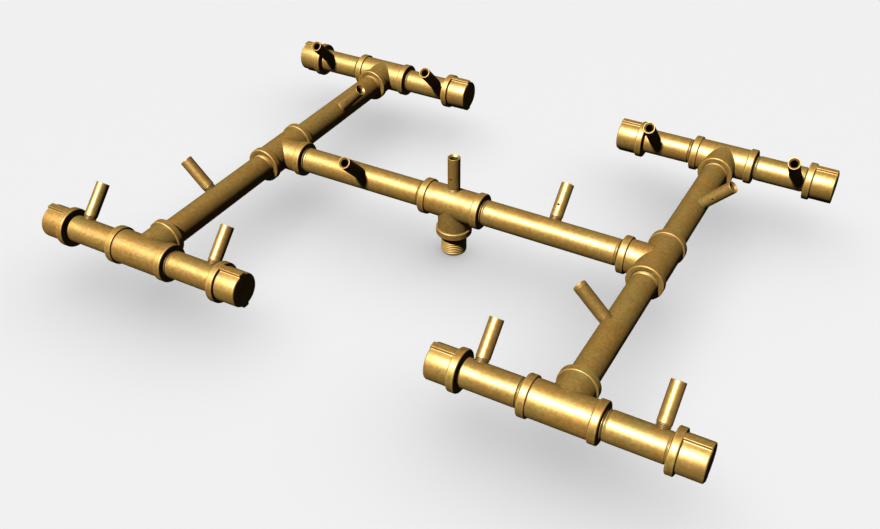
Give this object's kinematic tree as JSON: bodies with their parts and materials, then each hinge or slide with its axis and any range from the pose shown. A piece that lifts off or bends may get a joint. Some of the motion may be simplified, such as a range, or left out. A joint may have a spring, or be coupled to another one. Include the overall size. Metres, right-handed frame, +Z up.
{
  "type": "gas burner assembly",
  "caption": "H-shaped brass gas burner manifold of threaded pipe nipples, banded tees and lugged caps, with angled jets along every pipe and a threaded inlet below its centre.",
  "frame": {"origin": "on the axis of the gas inlet, at the inlet nipple's lower end, which is the lowest point of the burner", "axes": "+Z up, away from the inlet; +X along the crossbar, which is the longest extent; +Y from the front end tees to the rear end tees. The right crossbar jet, on the +X side, leans towards +Y."},
  "size_m": [0.5374, 0.3804, 0.0893],
  "materials": {
    "fitting_brass": "satin",
    "nipple_brass": "satin",
    "jet_brass": "satin"
  },
  "bodies": {
    "root": {"centre_jet": "jet_brass", "centre_tee": "fitting_brass", "front_left_inner_cap": "fitting_brass", "front_left_inner_jet": "jet_brass", "front_left_inner_nipple": "nipple_brass", "front_left_outer_cap": "fitting_brass", "front_left_outer_jet": "jet_brass", "front_left_outer_nipple": "nipple_brass", "front_left_side_jet": "jet_brass", "front_left_side_pipe": "nipple_brass", "front_left_tee": "fitting_brass", "front_right_inner_cap": "fitting_brass", "front_right_inner_jet": "jet_brass", "front_right_inner_nipple": "nipple_brass", "front_right_outer_cap": "fitting_brass", "front_right_outer_jet": "jet_brass", "front_right_outer_nipple": "nipple_brass", "front_right_side_jet": "jet_brass", "front_right_side_pipe": "nipple_brass", "front_right_tee": "fitting_brass", "inlet_nipple": "nipple_brass", "left_crossbar_jet": "jet_brass", "left_crossbar_pipe": "nipple_brass", "left_tee": "fitting_brass", "rear_left_inner_cap": "fitting_brass", "rear_left_inner_jet": "jet_brass", "rear_left_inner_nipple": "nipple_brass", "rear_left_outer_cap": "fitting_brass", "rear_left_outer_jet": "jet_brass", "rear_left_outer_nipple": "nipple_brass", "rear_left_side_jet": "jet_brass", "rear_left_side_pipe": "nipple_brass", "rear_left_tee": "fitting_brass", "rear_right_inner_cap": "fitting_brass", "rear_right_inner_jet": "jet_brass", "rear_right_inner_nipple": "nipple_brass", "rear_right_outer_cap": "fitting_brass", "rear_right_outer_jet": "jet_brass", "rear_right_outer_nipple": "nipple_brass", "rear_right_side_jet": "jet_brass", "rear_right_side_pipe": "nipple_brass", "rear_right_tee": "fitting_brass", "right_crossbar_jet": "jet_brass", "right_crossbar_pipe": "nipple_brass", "right_tee": "fitting_brass"}
  },
  "joints": []
}
